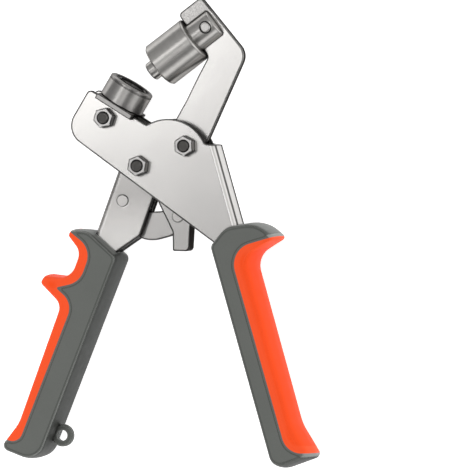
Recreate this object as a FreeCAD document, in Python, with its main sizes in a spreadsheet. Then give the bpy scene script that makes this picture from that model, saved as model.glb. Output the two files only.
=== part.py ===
"""Hand-held eyelet setting pliers, with the jaws open.

The pliers lie flat: +Z is the thickness, X and Y are the plane in which the jaws move.
The origin is the centre of the anvil's working face, on the mid-plane of the tool.
Everything is mirror-symmetric about the mid-plane z = 0 except the bolts and the spring.
All lengths are in millimetres and all angles in degrees.
"""

import FreeCAD, Part
import math
import os
import types
import Sketcher

# Driving dimensions, one spreadsheet row each.
SIZES = {
    # folded sheet frame: two cheeks joined by a spine on the fixed grip's side
    "frame_sheet": 2.5,
    "frame_gap": 13.0,
    "spine_top_x": 49.5,
    "spine_top_y": -33.3,
    "spine_tilt": 16.2,
    "spine_length": 64.0,
    "tang_length": 66.0,
    "tang_inset": 3.8,
    "tang_width": 9.8,
    "crown_to_spine": 5.6,
    "crown_rise": 0.8,
    "tang_shoulder_rise": 10.5,
    # folded sheet lever
    "lever_sheet": 2.0,
    "lever_gap": 8.0,
    "lever_tilt": 20.2,
    "lever_left": 11.5,
    "lever_right": 12.9,
    "lever_top": 12.0,
    "lever_top_round": 7.5,
    "lever_spine_drop": 6.0,
    "lever_shoulder": 36.4,
    "lever_tang_width": 13.5,
    "lever_tang_start": 51.5,
    "lever_tang_end": 120.0,
    # pivots
    "lever_pivot_x": 6.4,
    "lever_pivot_y": -44.8,
    "jaw_pivot_x": 33.1,
    "jaw_pivot_y": -33.8,
    "lever_pin_x": -4.0,
    "lever_pin_y": -64.1,
    "tail_pin_x": 27.3,
    "tail_pin_y": -72.6,
    # travel of the jaw from open to closed
    "jaw_travel": 22.1,
    # anvil
    "anvil_tilt": 58.7,
    "anvil_radius": 13.0,
    "anvil_height": 12.6,
    "anvil_pocket_radius": 10.0,
    "anvil_pocket_depth": 8.0,
    "anvil_stud_radius": 4.0,
    "anvil_stud_length": 6.0,
    "anvil_rim_drop": 1.5,
    "anvil_rim_groove": 0.5,
    "recess_radius": 7.0,
    "insert_break": 0.3,
    "curl_inner_radius": 7.4,
    "curl_outer_radius": 9.3,
    "curl_depth": 1.0,
    "curl_round": 0.9,
    "saddle_bed": 1.1,
    "saddle_lip_drop": 1.9,
    "saddle_left": 11.5,
    "saddle_right": 11.9,
    "saddle_width": 26.0,
    "tenon_half": 9.5,
    "tenon_end": 29.5,
    "anvil_bolt_depth": 22.5,
    "anvil_bolt_side": 1.5,
    "seat_left": 17.8,
    "seat_right": 20.6,
    # punch
    "spigot_radius": 5.4,
    "spigot_length": 6.0,
    "face_gap": 0.3,
    "holder_radius": 13.0,
    "holder_length": 25.7,
    "holder_break": 0.9,
    "shank_radius": 8.8,
    "shank_length": 14.9,
    "shank_break": 0.7,
    "stem_radius": 4.0,
    "stem_length": 9.0,
    "punch_pin_radius": 2.9,
    "punch_pin_inset": 10.0,
    "punch_pin_proud": 0.3,
    # jaw arm and the folded tail that straddles it
    "arm_thickness": 4.4,
    "arm_end_back": 16.2,
    "arm_end_left": 16.0,
    "tail_sheet": 2.2,
    "tail_toe": 2.2,
    "tail_spine_start": 46.0,
    "hub_radius": 9.0,
    "hub_round": 8.0,
    # link and its pins
    "link_thickness": 4.0,
    "pin_radius": 2.5,
    "pin_head_radius": 3.3,
    "pin_head_height": 0.6,
    "pin_head_break": 0.3,
    "washer_radius": 4.6,
    # bolts, nuts and bushes
    "bolt_radius": 3.0,
    "hex_width": 10.0,
    "bolt_head_height": 4.0,
    "nut_height": 5.0,
    "bolt_end": 1.0,
    "bolt_chamfer": 0.6,
    "hex_chamfer": 0.5,
    "nut_countersink": 0.5,
    "bush_radius": 5.0,
    "spacer_radius": 8.0,
    "anvil_nut_turn": 12.0,
    "lever_nut_turn": 22.0,
    "jaw_nut_turn": 32.0,
    # return spring
    "spring_wire_radius": 0.8,
    "spring_pitch": 1.8,
    "spring_foot_angle": 187.3,
    "spring_lever_leg": 13.0,
    "spring_frame_leg": 18.9,
    # grips
    "grip_thickness": 28.0,
    "ring_across": 7.9,
    "ring_along": -156.0,
    "ring_radius": 6.2,
    "ring_hole_radius": 3.0,
    "ring_thickness": 4.0,
    "ring_break": 0.8,
    # small forms
    "fold_inside": 0.5,
    "arm_edge_break": 0.4,
    "relief_drop": 12.9,
    "relief_width": 11.0,
    "inlay_top_slope": 0.325,
    "jaw_rivet_x": 31.4,
    "jaw_rivet_y": -52.5,
    "tail_notch_x": 37.0,
    # clearances
    "fit_slip": 0.05,
    "pivot_slip": 0.06,
    "side_slip": 0.1,
    "moving_gap": 0.3,
    "open_pivot_slip": 0.5,
}

# Corners of the free-form outlines: (x, y, rounding radius), one row each.
CORNERS = {
    # frame cheek, in the plane of the tool
    "frame_heel": (-36.5, -25.9, 11.0),
    "frame_crown": (32.5, -9.9, 23.2),
    # jaw arm, in the plane of the tool
    "arm_elbow": (65.9, 17.0, 9.0),
    "arm_back": (43.6, -31.4, 3.0),
    "arm_heel": (36.0, -47.5, 3.0),
    "arm_tongue_right": (34.4, -58.0, 3.0),
    "arm_tongue_left": (27.0, -58.0, 3.0),
    "arm_waist": (26.0, -44.0, 5.0),
    "arm_hip": (20.6, -27.6, 5.0),
    "arm_inner_low": (31.6, -8.4, 25.0),
    "arm_inner_mid": (38.2, 4.6, 25.0),
    # folded tail, in the plane of the tool
    "tail_toe_left": (24.3, -91.7, 1.0),
    "tail_toe_right": (33.7, -91.9, 2.5),
    "tail_calf": (34.4, -78.9, 12.0),
    "tail_waist": (22.5, -44.0, 8.0),
    "tail_shoulder": (15.6, -64.0, 2.0),
    "tail_shin": (24.3, -81.2, 1.5),
    # crescent link, in the plane of the tool
    "link_near_left": (-10.6, -61.4, 5.0),
    "link_near_top": (-2.6, -56.6, 4.5),
    "link_throat_left": (9.0, -70.2, 7.0),
    "link_throat_right": (17.8, -69.8, 12.0),
    "link_far_top": (24.6, -67.4, 4.6),
    "link_far_right": (32.2, -67.7, 4.6),
    "link_far_low": (32.2, -77.7, 4.6),
    "link_belly_right": (22.6, -83.6, 14.0),
    "link_belly": (12.0, -86.4, 17.0),
    "link_belly_left": (4.0, -84.6, 8.5),
    # right grip at its middle, across and along from the lower end of the frame's spine
    "right_grip_brow": (-17.5, 11.2, 4.0),
    "right_grip_crest": (-5.7, 19.4, 12.0),
    "right_grip_top": (12.9, 16.9, 16.0),
    "right_grip_horn": (21.5, 5.2, 2.5),
    "right_grip_neck": (2.7, -1.1, 10.0),
    "right_grip_calf": (2.3, -95.5, 25.0),
    "right_grip_toe": (8.0, -116.2, 3.0),
    "right_grip_heel": (-17.5, -117.8, 7.5),
    # right inlay boundary on the same axes
    "right_inlay_top": (-6.7, 6.2, 12.0),
    "right_inlay_low": (-6.2, -110.0, 11.0),
    "right_inlay_toe": (12.0, -115.3, 1.0),
    # left grip at its middle, across and along from the lever's pivot
    "left_grip_horn": (-24.4, -46.0, 3.0),
    "left_grip_top": (-14.0, -42.9, 10.0),
    "left_grip_brow": (7.2, -51.0, 4.2),
    "left_grip_heel": (3.3, -174.6, 11.0),
    "left_grip_toe": (-21.6, -174.4, 4.0),
    "left_grip_calf": (-16.0, -157.0, 22.0),
    "left_grip_knee": (-15.8, -87.6, 6.0),
    "left_grip_spur_low": (-31.4, -80.4, 2.8),
    "left_grip_spur": (-30.0, -74.8, 2.8),
    "left_grip_notch_low": (-15.4, -71.4, 8.5),
    "left_grip_notch_top": (-15.4, -56.4, 6.5),
    "left_grip_horn_low": (-25.1, -50.3, 2.8),
    # left inlay boundary on the same axes
    "left_inlay_top": (-8.6, -52.2, 11.0),
    "left_inlay_fork_top": (-8.6, -71.6, 12.0),
    "left_inlay_fork": (-20.6, -79.2, 0.8),
    "left_inlay_fork_low": (-8.4, -83.8, 10.0),
    "left_inlay_low": (-10.9, -167.8, 6.0),
}

# How far each corner of a grip moves from the middle of its thickness to its flat faces.
INSETS = {
    "right_grip_brow": (1.5, -0.4, -0.6),
    "right_grip_crest": (-0.2, -1.6, -1.0),
    "right_grip_top": (-0.9, -1.7, -1.6),
    "right_grip_horn": (-3.6, -0.2, -1.4),
    "right_grip_neck": (-4.9, 2.6, 3.0),
    "right_grip_calf": (-5.0, -0.6, 5.0),
    "right_grip_toe": (-5.4, 2.2, -1.6),
    "right_grip_heel": (1.5, 2.4, -1.8),
    "left_grip_horn": (1.7, -0.8, -1.4),
    "left_grip_top": (0.0, -1.3, -1.5),
    "left_grip_brow": (-1.6, -1.0, -1.4),
    "left_grip_heel": (-1.0, 1.6, -1.6),
    "left_grip_toe": (2.6, 1.6, -1.8),
    "left_grip_calf": (2.2, -0.4, 2.2),
    "left_grip_knee": (2.2, 1.2, 2.2),
    "left_grip_spur_low": (2.4, 1.0, -1.6),
    "left_grip_spur": (1.9, -1.3, -1.6),
    "left_grip_notch_low": (2.0, -1.3, 1.8),
    "left_grip_notch_top": (2.0, 1.2, 1.8),
    "left_grip_horn_low": (2.0, 0.9, -1.6),
}


class Length:
    """A size that knows both its number and the spreadsheet expression behind it."""

    def __init__(self, number, text):
        self.number = number
        self.text = text

    def __add__(self, other):
        other = as_length(other)
        return Length(self.number + other.number, f"({self.text} + {other.text})")

    def __sub__(self, other):
        other = as_length(other)
        return Length(self.number - other.number, f"({self.text} - {other.text})")

    def __mul__(self, other):
        other = as_length(other)
        return Length(self.number * other.number, f"({self.text} * {other.text})")

    def __truediv__(self, other):
        other = as_length(other)
        return Length(self.number / other.number, f"({self.text} / {other.text})")

    def __neg__(self):
        return Length(-self.number, f"(0 - {self.text})")


def as_length(value):
    """Wrap a plain number as a Length."""
    if isinstance(value, Length):
        return value
    return Length(float(value), repr(float(value)))


def sine(angle):
    return Length(math.sin(math.radians(angle.number)), f"sin({angle.text})")


def cosine(angle):
    return Length(math.cos(math.radians(angle.number)), f"cos({angle.text})")


def turned(x, y, angle):
    """Turn the point (x, y) about the origin."""
    x = as_length(x)
    y = as_length(y)
    return x * cosine(angle) - y * sine(angle), x * sine(angle) + y * cosine(angle)


def placed(origin, angle, across, along):
    """A point given on axes that start at origin and are turned by angle."""
    x, y = turned(across, along, angle)
    return origin[0] + x, origin[1] + y


document = FreeCAD.newDocument("eyelet_pliers")
sheet = document.addObject("Spreadsheet::Sheet", "sizes")
size = types.SimpleNamespace()
corner = {}
inset = {}
row = 0
for alias, number in SIZES.items():
    row += 1
    sheet.set(f"A{row}", alias)
    sheet.set(f"B{row}", str(number))
    sheet.setAlias(f"B{row}", alias)
    setattr(size, alias, Length(number, f"sizes.{alias}"))
tables = ((CORNERS, corner, ("x", "y", "round")), (INSETS, inset, ("dx", "dy", "dround")))
for table, found, part_names in tables:
    for name, numbers in table.items():
        row += 1
        sheet.set(f"A{row}", name)
        bound = []
        for column, part_name, number in zip("BCD", part_names, numbers):
            alias = f"{name}_{part_name}"
            sheet.set(f"{column}{row}", str(number))
            sheet.setAlias(f"{column}{row}", alias)
            bound.append(Length(number, f"sizes.{alias}"))
        found[name] = tuple(bound)
document.recompute()

HALF = 0.5
FULL_TURN = 360.0
HALF_TURN = 180.0
HEX_SIDES = 6
HEX_CORNER_RATIO = 2.0 / math.sqrt(3.0)
GRIP_STEP_ANGLES = (0.0, 22.5, 45.0, 67.5, 90.0)
SPRING_WHOLE_TURNS = 3
SPRING_WIRE_SIDES = 8
TOLERANCE = 1e-6
NOTHING = as_length(0.0)

# ---- places shared by several pieces ----
frame_half = size.frame_gap * HALF + size.frame_sheet
gap_half = size.frame_gap * HALF
lever_half = size.lever_gap * HALF + size.lever_sheet
tail_gap = size.arm_thickness + size.side_slip * 2
tail_half = tail_gap * HALF + size.tail_sheet
grip_half = size.grip_thickness * HALF

through = size.grip_thickness * 2
anvil_origin = (NOTHING, NOTHING)
spine_top = (size.spine_top_x, size.spine_top_y)
lever_pivot = (size.lever_pivot_x, size.lever_pivot_y)
jaw_pivot = (size.jaw_pivot_x, size.jaw_pivot_y)
lever_pin = (size.lever_pin_x, size.lever_pin_y)
tail_pin = (size.tail_pin_x, size.tail_pin_y)
seat_depth = size.anvil_height + size.saddle_bed
anvil_bolt = placed(anvil_origin, size.anvil_tilt, -size.anvil_bolt_depth, size.anvil_bolt_side)


def opened(x, y):
    """Where a point of the closed jaw lies once the jaw is open."""
    back = -size.jaw_travel
    dx, dy = turned(x - jaw_pivot[0], y - jaw_pivot[1], back)
    return jaw_pivot[0] + dx, jaw_pivot[1] + dy


punch_sink = size.spigot_length - size.face_gap
punch_tilt = size.anvil_tilt - size.jaw_travel
punch_tip_place = opened(*turned(-punch_sink, 0, size.anvil_tilt))
holder_end = size.spigot_length + size.holder_length
shank_end = holder_end + size.shank_length
punch_pin_place = placed(punch_tip_place, punch_tilt, holder_end + size.punch_pin_inset, 0)


# ---- helpers for bodies, sketches and features ----
def origin_plane(body, role):
    for feature in body.Origin.OriginFeatures:
        if feature.Role == role:
            return feature
    raise ValueError(role)


def new_body(name):
    body = document.addObject("PartDesign::Body", name)
    body.Label = name
    return body


def new_sketch(body, name, role="XY_Plane"):
    sketch = body.newObject("Sketcher::SketchObject", f"{body.Name}_{name}")
    sketch.AttachmentSupport = (origin_plane(body, role), [""])
    sketch.MapMode = "FlatFace"
    return sketch


def bind(item, name, length):
    """Tie a property to its spreadsheet expression."""
    item.setExpression(name, as_length(length).text)


def place(item, origin, angle=None, height=None, clockwise=False):
    """Put a piece at a point of the plan, turned about Z."""
    turn = angle.number if angle is not None else 0.0
    level = height.number if height is not None else 0.0
    base = FreeCAD.Vector(origin[0].number, origin[1].number, level)
    axis = FreeCAD.Vector(0, 0, -1 if clockwise else 1)
    item.Placement = FreeCAD.Placement(base, FreeCAD.Rotation(axis, turn))
    bind(item, "Placement.Base.x", origin[0])
    bind(item, "Placement.Base.y", origin[1])
    if height is not None:
        bind(item, "Placement.Base.z", height)
    if angle is not None:
        bind(item, "Placement.Rotation.Angle", angle)


def vector(x, y):
    return FreeCAD.Vector(x, y, 0)


def corner_arc(before, here, after, radius):
    """Where a tangent arc starts and ends at a corner, and its middle point."""
    back = (before - here).normalize()
    ahead = (after - here).normalize()
    half_angle = back.getAngle(ahead) * HALF
    run = radius / math.tan(half_angle)
    bisector = (back + ahead).normalize()
    middle = here + bisector * (radius / math.sin(half_angle) - radius)
    return here + back * run, middle, here + ahead * run


def fixed_point(name, geometry, position, x, y):
    """Rules that hold one point of a sketch at a bound distance from the origin."""
    return [
        (Sketcher.Constraint("DistanceX", -1, 1, geometry, position, x.number), f"{name}_x", x),
        (Sketcher.Constraint("DistanceY", -1, 1, geometry, position, y.number), f"{name}_y", y),
    ]


def add_rules(sketch, rules):
    """Add all rules at once, then name and bind those that carry a size."""
    indices = sketch.addConstraint([rule for rule, _, _ in rules])
    for index, (_, name, length) in zip(indices, rules):
        if name:
            sketch.renameConstraint(index, name)
            bind(sketch, f"Constraints.{name}", length)


def draw_outline(sketch, corners):
    """Close a loop of straight lines whose corners are rounded by tangent arcs."""
    corners = [tuple(as_length(value) for value in entry) for entry in corners]
    points = [vector(x.number, y.number) for x, y, _ in corners]
    count = len(points)
    arcs = []
    for index, (_, _, radius) in enumerate(corners):
        if radius.number > 0:
            before = points[index - 1]
            after = points[(index + 1) % count]
            arcs.append(corner_arc(before, points[index], after, radius.number))
        else:
            arcs.append((points[index], points[index], points[index]))
    first = sketch.GeometryCount
    for index in range(count):
        line = Part.LineSegment(arcs[index][2], arcs[(index + 1) % count][0])
        sketch.addGeometry(line, False)
    rules = []
    for index, (x, y, radius) in enumerate(corners):
        before = first + (index - 1) % count
        after = first + index
        label = f"corner{first}_{index}"
        if radius.number > 0:
            start, middle, end = arcs[index]
            left_turn = (middle - start).cross(end - middle).z > 0
            ends = (start, end) if left_turn else (end, start)
            arc = sketch.addGeometry(Part.Arc(ends[0], middle, ends[1]), False)
            near = 1 if left_turn else 2
            point = sketch.addGeometry(Part.Point(points[index]), True)
            rules += [
                (Sketcher.Constraint("Tangent", before, 2, arc, near), None, None),
                (Sketcher.Constraint("Tangent", after, 1, arc, 3 - near), None, None),
                (Sketcher.Constraint("PointOnObject", point, 1, before), None, None),
                (Sketcher.Constraint("PointOnObject", point, 1, after), None, None),
                (Sketcher.Constraint("Radius", arc, radius.number), f"{label}_round", radius),
            ]
            rules += fixed_point(label, point, 1, x, y)
        else:
            rules.append((Sketcher.Constraint("Coincident", before, 2, after, 1), None, None))
            rules += fixed_point(label, after, 1, x, y)
    add_rules(sketch, rules)


def bevelled(corners):
    """Replace each corner's rounding by a flat that takes as much off both of its sides."""
    corners = [tuple(as_length(value) for value in entry) for entry in corners]
    flats = []
    for index, (x, y, cut) in enumerate(corners):
        if cut.number == 0:
            flats.append((x, y, 0))
            continue
        for other in (corners[index - 1], corners[(index + 1) % len(corners)]):
            run = vector(other[0].number - x.number, other[1].number - y.number).normalize()
            flats.append((x + cut * round(run.x), y + cut * round(run.y), 0))
    return flats


def draw_rectangle(sketch, left, low, right, top):
    draw_outline(sketch, [(left, low, 0), (right, low, 0), (right, top, 0), (left, top, 0)])


def draw_circle(sketch, x, y, radius):
    x = as_length(x)
    y = as_length(y)
    shape = Part.Circle(vector(x.number, y.number), FreeCAD.Vector(0, 0, 1), radius.number)
    circle = sketch.addGeometry(shape, False)
    label = f"circle{circle}"
    rules = [(Sketcher.Constraint("Radius", circle, radius.number), f"{label}_radius", radius)]
    rules += fixed_point(label, circle, 3, x, y)
    add_rules(sketch, rules)


def pad(body, name, sketch, length, symmetric=True):
    feature = body.newObject("PartDesign::Pad", f"{body.Name}_{name}")
    feature.Profile = sketch
    feature.SideType = "Symmetric" if symmetric else "One side"
    bind(feature, "Length", length)
    document.recompute()
    return feature


def pocket(body, name, sketch, length, symmetric=True, away=False):
    before = body.Shape.Volume
    feature = body.newObject("PartDesign::Pocket", f"{body.Name}_{name}")
    feature.Profile = sketch
    feature.SideType = "Symmetric" if symmetric else "One side"
    feature.Reversed = away
    bind(feature, "Length", length)
    document.recompute()
    if not body.Shape.Volume < before:
        raise RuntimeError(f"{feature.Name} cuts nothing")
    return feature


def revolve(body, name, sketch):
    """Turn a profile once round the sketch's horizontal axis."""
    feature = body.newObject("PartDesign::Revolution", f"{body.Name}_{name}")
    feature.Profile = sketch
    feature.ReferenceAxis = (sketch, ["H_Axis"])
    feature.Angle = FULL_TURN
    document.recompute()
    return feature


def upright_profile(body, name, corners, centre=(NOTHING, NOTHING)):
    """Turn a profile of (height, radius) corners about an upright axis."""
    profile = new_sketch(body, name, "XZ_Plane")
    offset = FreeCAD.Vector(centre[0].number, 0, -centre[1].number)
    profile.AttachmentOffset = FreeCAD.Placement(offset, FreeCAD.Rotation())
    bind(profile, "AttachmentOffset.Base.x", centre[0])
    bind(profile, "AttachmentOffset.Base.z", -centre[1])
    draw_outline(profile, [(radius, height, rounding) for height, radius, rounding in corners])
    feature = body.newObject("PartDesign::Revolution", f"{body.Name}_{name}_turn")
    feature.Profile = profile
    feature.ReferenceAxis = (profile, ["V_Axis"])
    feature.Angle = FULL_TURN
    document.recompute()


def groove(body, name, sketch, axis="V_Axis"):
    """Cut a profile turned round one of the sketch's axes."""
    before = body.Shape.Volume
    feature = body.newObject("PartDesign::Groove", f"{body.Name}_{name}")
    feature.Profile = sketch
    feature.ReferenceAxis = (sketch, [axis])
    feature.Angle = FULL_TURN
    document.recompute()
    if not body.Shape.Volume < before:
        raise RuntimeError(f"{feature.Name} cuts nothing")
    return feature


def dress_edges(body, name, kind, measure, amount, chosen):
    """Round or bevel the edges of the body's tip that a test picks out."""
    base = body.Tip
    names = [f"Edge{n}" for n, edge in enumerate(base.Shape.Edges, start=1) if chosen(edge)]
    if not names:
        raise RuntimeError(f"{body.Name}_{name} finds no edge")
    feature = body.newObject(f"PartDesign::{kind}", f"{body.Name}_{name}")
    feature.Base = (base, names)
    bind(feature, measure, amount)
    document.recompute()


def fillet(body, name, radius, chosen):
    dress_edges(body, name, "Fillet", "Radius", radius, chosen)


def chamfer(body, name, width, chosen):
    dress_edges(body, name, "Chamfer", "Size", width, chosen)


def level_edge(height):
    """Pick edges that lie flat at plus or minus a height."""
    def chosen(edge):
        box = edge.BoundBox
        return box.ZLength < TOLERANCE and abs(abs(box.ZMin) - height.number) < TOLERANCE
    return chosen


def spine_edge(origin, tilt, across, height):
    """Pick straight edges that run along a fold."""
    direction = turned(0, 1, tilt)
    normal = turned(1, 0, tilt)
    way = vector(direction[0].number, direction[1].number)
    side = vector(normal[0].number, normal[1].number)
    foot = vector(origin[0].number, origin[1].number)

    def chosen(edge):
        if len(edge.Vertexes) != 2:
            return False
        low, high = (vertex.Point for vertex in edge.Vertexes)
        run = high - low
        straight = abs(run.Length - abs(run.dot(way))) < TOLERANCE
        at_fold = abs((low - foot).dot(side) - across.number) < TOLERANCE
        return straight and at_fold and abs(abs(low.z) - height.number) < TOLERANCE
    return chosen


# ---- frame: two cheeks, a folded spine and a tang, in one piece of sheet ----
def on_spine(across, along):
    return placed(spine_top, size.spine_tilt, across, along)


def on_anvil(up, left):
    return placed(anvil_origin, size.anvil_tilt, up, left)


tang_right = -size.tang_inset
tang_left = tang_right - size.tang_width
tang_end = -size.spine_length - size.tang_length
tang_shoulder = size.tang_shoulder_rise - size.spine_length
frame = new_body("frame")
outline = new_sketch(frame, "outline")
draw_outline(outline, [
    (*on_anvil(-seat_depth, size.seat_left), size.frame_sheet),
    corner["frame_heel"],
    (*on_spine(tang_left, tang_shoulder), size.frame_sheet),
    (*on_spine(tang_left, tang_end), size.frame_sheet),
    (*on_spine(tang_right, tang_end), size.frame_sheet),
    (*on_spine(tang_right, -size.spine_length), 0),
    (*on_spine(0, -size.spine_length), 0),
    (*on_spine(0, 0), 0),
    (spine_top[0] - size.crown_to_spine, spine_top[1] + size.crown_rise, 0),
    corner["frame_crown"],
    (*on_anvil(-seat_depth, -size.seat_right), 0),
])
pad(frame, "sheet", outline, frame_half * 2)
channel = new_sketch(frame, "channel")
channel_reach = tang_end * 2
draw_outline(channel, [
    (*on_spine(channel_reach, channel_reach), 0),
    (*on_spine(-size.frame_sheet, channel_reach), 0),
    (*on_spine(-size.frame_sheet, -channel_reach), 0),
    (*on_spine(channel_reach, -channel_reach), 0),
])
pocket(frame, "channel_cut", channel, size.frame_gap)
bolt_hole_radius = size.bolt_radius + size.fit_slip
bolt_holes = new_sketch(frame, "bolt_holes")
for pivot in (anvil_bolt, lever_pivot, jaw_pivot):
    draw_circle(bolt_holes, *pivot, bolt_hole_radius)
pocket(frame, "bolt_cut", bolt_holes, through)
outer_fold = spine_edge(spine_top, size.spine_tilt, NOTHING, frame_half)
fillet(frame, "outer_bend", size.frame_sheet + size.fold_inside, outer_fold)
inner_fold = spine_edge(spine_top, size.spine_tilt, -size.frame_sheet, gap_half)
fillet(frame, "inner_bend", size.fold_inside, inner_fold)


# ---- grips: a hard moulding with a soft inlay on its outer side ----
def grip_section(body, names, angle, side):
    """A grip's outline at one step of the elliptical round from its middle to a flat face."""
    share = 1.0 - math.cos(math.radians(angle))
    height = grip_half * math.sin(math.radians(angle)) * side
    section = new_sketch(body, f"{'front' if side > 0 else 'back'}_{round(angle)}")
    section.AttachmentOffset = FreeCAD.Placement(
        FreeCAD.Vector(0, 0, height.number), FreeCAD.Rotation())
    bind(section, "AttachmentOffset.Base.z", height)
    draw_outline(section, [
        tuple(value + move * share for value, move in zip(corner[name], inset[name]))
        for name in names])
    return section


def grip_form(body, names):
    """The full outer form of a grip: a loft from its back face over its middle to its front."""
    backs = [grip_section(body, names, angle, -1) for angle in reversed(GRIP_STEP_ANGLES)]
    fronts = [grip_section(body, names, angle, 1) for angle in GRIP_STEP_ANGLES[1:]]
    loft = body.newObject("PartDesign::AdditiveLoft", f"{body.Name}_form")
    loft.Profile = backs[0]
    loft.Sections = backs[1:] + fronts
    document.recompute()


def cut_loop(body, name, corners, depth):
    """Cut a symmetric pocket through a closed outline."""
    loop = new_sketch(body, name)
    draw_outline(loop, corners)
    pocket(body, f"{name}_cut", loop, depth)


def core(body, name, left, low, right, top, depth):
    """A moulded block that fills the hollow of a folded tang."""
    section = new_sketch(body, name)
    draw_rectangle(section, left, low, right, top)
    pad(body, f"{name}_pad", section, depth)


slip = size.fit_slip
right_grip_foot = on_spine(0, -size.spine_length)
right_grip_names = [f"right_grip_{name}" for name in (
    "brow", "crest", "top", "horn", "neck", "calf", "toe", "heel")]
brow_x = corner["right_grip_brow"][0]
top_y = corner["right_grip_top"][1]
far_right = through
right_inlay_corners = [
    (far_right, corner["right_inlay_top"][1], 0),
    corner["right_inlay_top"],
    corner["right_inlay_low"],
    corner["right_inlay_toe"],
    (far_right, corner["right_inlay_toe"][1], 0),
]
# the part of the grip outside the inlay, as a loop that goes round the whole grip
right_hard_corners = [
    *right_inlay_corners,
    (far_right, corner["right_grip_heel"][1] - far_right, 0),
    (-far_right, corner["right_grip_heel"][1] - far_right, 0),
    (-far_right, far_right, 0),
    (far_right, far_right, 0),
]
channel_top = [
    (brow_x * 2, top_y * 2, 0),
    (slip, top_y * 2, 0),
    (slip, -slip, 0),
    (tang_left - slip, -slip, 0),
    (tang_left - slip, size.tang_shoulder_rise, size.frame_sheet),
    (brow_x * 2, size.tang_shoulder_rise - brow_x, 0),
]
tang_slot = [
    (tang_left - slip, -size.tang_length - slip, 0),
    (tang_right + slip, -size.tang_length - slip, 0),
    (tang_right + slip, size.tang_shoulder_rise, 0),
    (tang_left - slip, size.tang_shoulder_rise, 0),
]
relief_low = top_y - size.relief_drop
tail_relief = [
    (brow_x * 2, relief_low, 0),
    (tang_left * HALF, relief_low, 0),
    (tang_left * HALF, top_y * 2, 0),
    (brow_x * 2, top_y * 2, 0),
]

right_grip = new_body("right_grip")
grip_form(right_grip, right_grip_names)
cut_loop(right_grip, "inlay_seat", right_inlay_corners, through)
cut_loop(right_grip, "channel_top", channel_top, frame_half * 2 + slip * 2)
cut_loop(right_grip, "tang_slot", tang_slot, frame_half * 2 + slip * 2)
core(right_grip, "tang_core", tang_left - slip, -size.tang_length - slip, tang_right + slip, -slip,
     size.frame_gap - slip * 2)
cut_loop(right_grip, "tail_relief", tail_relief, size.relief_width)
place(right_grip, right_grip_foot, size.spine_tilt)

right_inlay = new_body("right_grip_inlay")
grip_form(right_inlay, right_grip_names)
cut_loop(right_inlay, "hard_part", right_hard_corners, through)
cut_loop(right_inlay, "channel_top", channel_top, frame_half * 2 + slip * 2)
cut_loop(right_inlay, "tang_slot", tang_slot, frame_half * 2 + slip * 2)
place(right_inlay, right_grip_foot, size.spine_tilt)

left_grip_names = [f"left_grip_{name}" for name in (
    "horn", "top", "brow", "heel", "toe", "calf", "knee", "spur_low", "spur",
    "notch_low", "notch_top", "horn_low")]
far_left = -far_right
left_inlay_line = [
    corner["left_inlay_top"],
    corner["left_inlay_fork_top"],
    corner["left_inlay_fork"],
    corner["left_inlay_fork_low"],
    corner["left_inlay_low"],
]
inlay_top_x, inlay_top_y, _ = corner["left_inlay_top"]
left_edge_top = (far_left, inlay_top_y - (far_left - inlay_top_x) * size.inlay_top_slope, 0)
left_edge_low = (far_left, corner["left_inlay_low"][1], 0)
lever_tang_left = -size.lever_left
lever_tang_right = lever_tang_left + size.lever_tang_width
lever_inside = lever_tang_left + size.lever_sheet
lever_slot = [
    (lever_tang_left - slip, -size.lever_tang_end - slip, 0),
    (lever_tang_right + slip, -size.lever_tang_end - slip, 0),
    (lever_tang_right + slip, -size.lever_tang_start, size.lever_sheet),
    (size.lever_right + slip, -size.lever_shoulder - slip, 0),
    (size.lever_right + slip, NOTHING, 0),
    (lever_tang_left - slip, NOTHING, 0),
]

left_grip = new_body("left_grip")
grip_form(left_grip, left_grip_names)
cut_loop(left_grip, "inlay_seat",
         [left_edge_top, *left_inlay_line, left_edge_low], through)
ring_half = size.ring_thickness * HALF
upright_profile(left_grip, "ring", [
    (-ring_half, size.ring_hole_radius, 0),
    (-ring_half, size.ring_radius - size.ring_break, 0),
    (size.ring_break - ring_half, size.ring_radius, 0),
    (ring_half - size.ring_break, size.ring_radius, 0),
    (ring_half, size.ring_radius - size.ring_break, 0),
    (ring_half, size.ring_hole_radius, 0),
], (size.ring_across, size.ring_along))
cut_loop(left_grip, "lever_slot", lever_slot, lever_half * 2 + slip * 2)
core(left_grip, "tang_core", lever_inside + slip, -size.lever_tang_end - slip,
     lever_tang_right + slip, -size.lever_tang_start - slip, size.lever_gap - slip * 2)
place(left_grip, lever_pivot, size.lever_tilt, clockwise=True)

left_inlay = new_body("left_grip_inlay")
grip_form(left_inlay, left_grip_names)
cut_loop(left_inlay, "hard_part", [
    left_edge_top,
    *left_inlay_line,
    left_edge_low,
    (far_left, corner["left_grip_heel"][1] * 2, 0),
    (far_right, corner["left_grip_heel"][1] * 2, 0),
    (far_right, far_right, 0),
    (far_left, far_right, 0),
], through)
cut_loop(left_inlay, "lever_slot", lever_slot, lever_half * 2 + slip * 2)
place(left_inlay, lever_pivot, size.lever_tilt, clockwise=True)


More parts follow.
